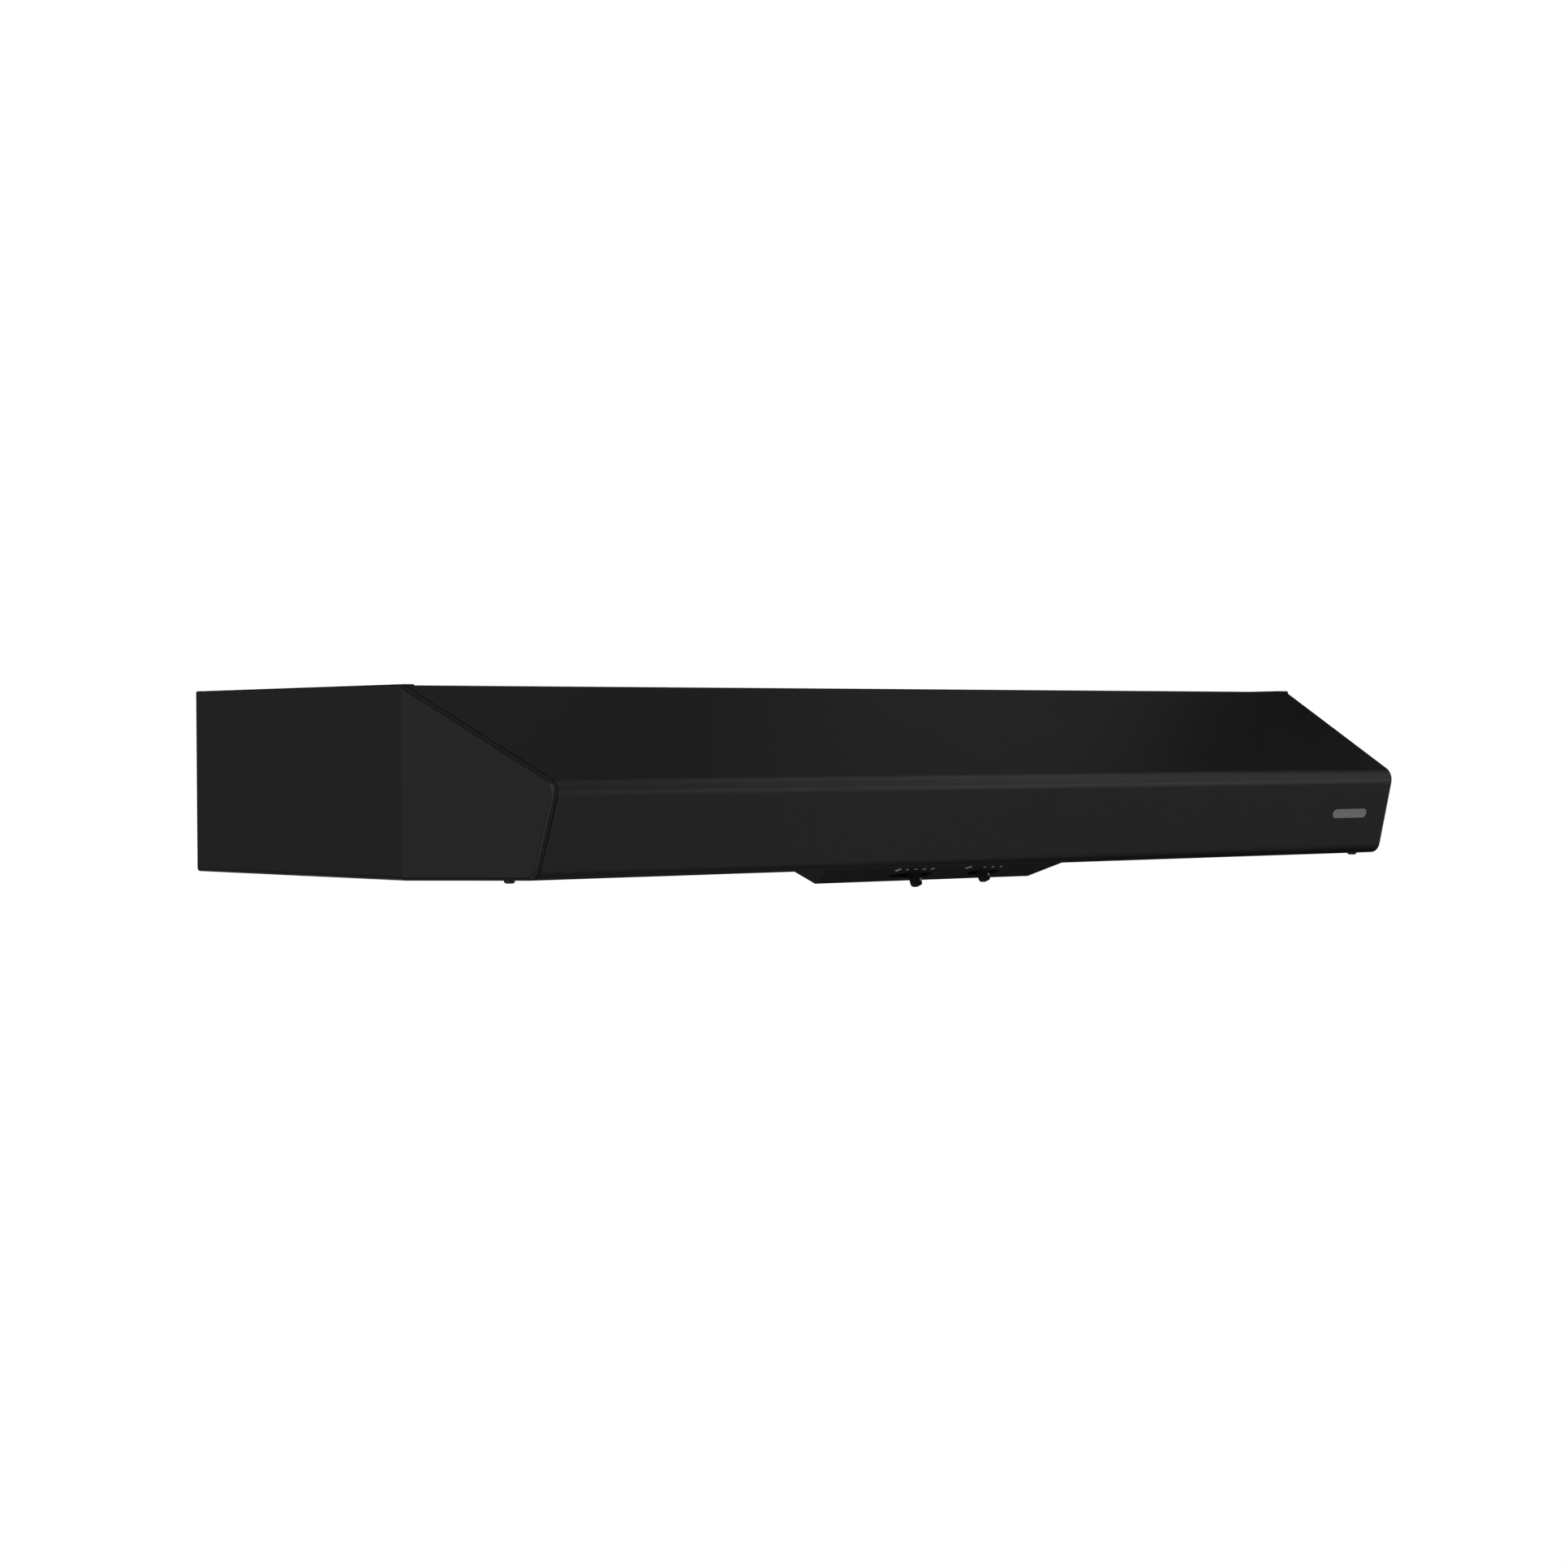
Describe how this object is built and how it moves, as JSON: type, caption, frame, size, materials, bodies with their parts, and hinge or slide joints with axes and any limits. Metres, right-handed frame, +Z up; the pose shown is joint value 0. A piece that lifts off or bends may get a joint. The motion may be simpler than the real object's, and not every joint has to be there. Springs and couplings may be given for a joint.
{
  "type": "under cabinet range hood",
  "caption": "Under cabinet range hood with a sloped front, slide controls below the front edge, hinged mesh filters, lamps, a twin wheel blower and a top duct outlet with a damper.",
  "frame": {"origin": "middle of the flat top panel's upper face, which goes against the cabinet", "axes": "+X to the hood's right as seen from the front, -Y to the front, +Y to the wall, +Z up out of the top"},
  "size_m": [0.911, 0.4426, 0.1557],
  "materials": {
    "black_paint": "satin black powder coat",
    "black_screw": "black screw",
    "black_plastic": "black ABS, light texture",
    "mark_ink": "grey printed marks",
    "knob_plastic": "black knob with a grey index",
    "switch_plastic": "dark grey nylon",
    "galvanised": "galvanised steel sheet",
    "zinc_screw": "zinc plated",
    "filter_alu": "mill finish",
    "mesh_alu": "expanded aluminium mesh",
    "spring_steel": "spring steel",
    "damper_alu": "thin aluminium",
    "wheel_plastic": "black nylon",
    "motor_paint": "black enamel",
    "winding": "steel stack with copper windings",
    "rotor_steel": "steel",
    "shaft_steel": "ground steel",
    "bush_bronze": "sintered bronze",
    "cap_body": "pale plastic can",
    "green_screw": "green ground screw",
    "wire_black": "black PVC sheath",
    "wire_grey": "grey PVC sheath",
    "wire_white": "white PVC sheath",
    "clip_nylon": "natural nylon",
    "lamp_can": "spun aluminium",
    "bezel_plastic": "black",
    "lens_glass": "frosted glass",
    "bulb_glass": "clear reflector glass",
    "badge": "plain grey plate"
  },
  "bodies": {
    "hood": {"top_panel": "black_paint", "canopy_panel": "black_paint", "left_side_panel": "black_paint", "right_side_panel": "black_paint", "back_panel": "black_paint", "rear_knockout_plate": "black_paint", "knockout_screws": "black_screw", "underside_liner": "black_paint", "underside_rim": "black_paint", "liner_screws": "black_screw", "control_housing": "black_plastic", "control_markings": "mark_ink", "control_housing_screws": "black_screw", "fan_switch": "switch_plastic", "light_switch": "switch_plastic", "filter_hinge_clips": "spring_steel", "filter_catch_springs": "spring_steel", "outlet_neck": "galvanised", "damper_pin": "shaft_steel", "blower_screws": "zinc_screw", "left_blower_scroll": "galvanised", "right_blower_scroll": "galvanised", "motor_casing": "motor_paint", "motor_stator": "winding", "motor_bushes": "bush_bronze", "motor_bracket": "galvanised", "motor_screws": "zinc_screw", "capacitor": "cap_body", "capacitor_clip": "galvanised", "junction_box": "galvanised", "junction_box_cover": "galvanised", "junction_box_screws": "green_screw", "main_harness": "wire_black", "motor_lead": "wire_grey", "lamp_leads": "wire_white", "cable_clips": "clip_nylon", "left_lamp_can": "lamp_can", "left_lamp_bezel": "bezel_plastic", "left_lamp_lens": "lens_glass", "left_lamp_bulb": "bulb_glass", "right_lamp_can": "lamp_can", "right_lamp_bezel": "bezel_plastic", "right_lamp_lens": "lens_glass", "right_lamp_bulb": "bulb_glass", "badge_plate": "badge"},
    "fan_knob": {"fan_slider_knob": "knob_plastic"},
    "light_knob": {"light_slider_knob": "knob_plastic"},
    "left_filter": {"left_filter_frame": "filter_alu", "left_filter_mesh": "mesh_alu", "left_filter_pull": "spring_steel"},
    "right_filter": {"right_filter_frame": "filter_alu", "right_filter_mesh": "mesh_alu", "right_filter_pull": "spring_steel"},
    "blower_rotor": {"left_blower_wheel": "wheel_plastic", "right_blower_wheel": "wheel_plastic", "motor_rotor": "rotor_steel", "motor_shaft": "shaft_steel"},
    "front_leaf": {"front_damper_leaf": "damper_alu"},
    "rear_leaf": {"rear_damper_leaf": "damper_alu"}
  },
  "joints": [
    {"name": "fan_slide", "type": "slide", "parent": "hood", "child": "fan_knob", "axis": [1, 0, 0], "range_m": [-0.0172, 0.0086]},
    {"name": "light_slide", "type": "slide", "parent": "hood", "child": "light_knob", "axis": [1, 0, 0], "range_m": [-0.0086, 0.0086]},
    {"name": "left_filter_hinge", "type": "hinge", "parent": "hood", "child": "left_filter", "pos_m": [0, 0.1135, -0.1222], "axis": [1, 0, 0], "range_deg": [0, 80]},
    {"name": "right_filter_hinge", "type": "hinge", "parent": "hood", "child": "right_filter", "pos_m": [0, 0.1135, -0.1222], "axis": [1, 0, 0], "range_deg": [0, 80]},
    {"name": "blower_spin", "type": "hinge", "parent": "hood", "child": "blower_rotor", "pos_m": [0, 0.06, -0.0554], "axis": [1, 0, 0], "continuous": true},
    {"name": "front_leaf_hinge", "type": "hinge", "parent": "hood", "child": "front_leaf", "pos_m": [0, 0.085, -0.0042], "axis": [-1, 0, 0], "range_deg": [0, 75]},
    {"name": "rear_leaf_hinge", "type": "hinge", "parent": "hood", "child": "rear_leaf", "pos_m": [0, 0.085, -0.0042], "axis": [1, 0, 0], "range_deg": [0, 75]}
  ]
}
